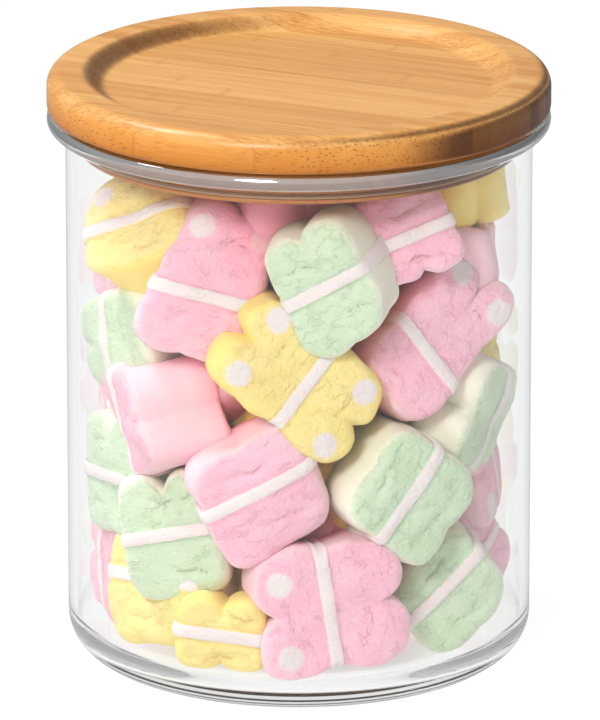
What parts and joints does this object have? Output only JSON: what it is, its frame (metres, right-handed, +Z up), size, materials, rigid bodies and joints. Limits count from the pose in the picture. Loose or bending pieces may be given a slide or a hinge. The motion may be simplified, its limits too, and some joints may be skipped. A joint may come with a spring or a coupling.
{
  "type": "jar of marshmallows",
  "caption": "Round clear glass storage jar filled with pastel butterfly-shaped marshmallows and shut by a dished bamboo lid with a sealing ring.",
  "frame": {"origin": "middle of the jar's base, on the surface that it stands on", "axes": "+Z up through the lid, -Y towards the side shown in the picture, +X to the right as seen from that side"},
  "size_m": [0.14, 0.14, 0.1679],
  "materials": {
    "glass": "clear, smooth and colourless, very faintly grey at its edges",
    "bamboo": "laminated bamboo strips, sanded and lightly oiled, satin",
    "silicone": "translucent whitish silicone, satin",
    "marshmallow": "powdery matt foam sugar in pink, yellow and mint green with white stripes and dots"
  },
  "bodies": {
    "root": {"jar": "glass", "lid": "bamboo", "gasket": "silicone", "marshmallows": "marshmallow"}
  },
  "joints": []
}
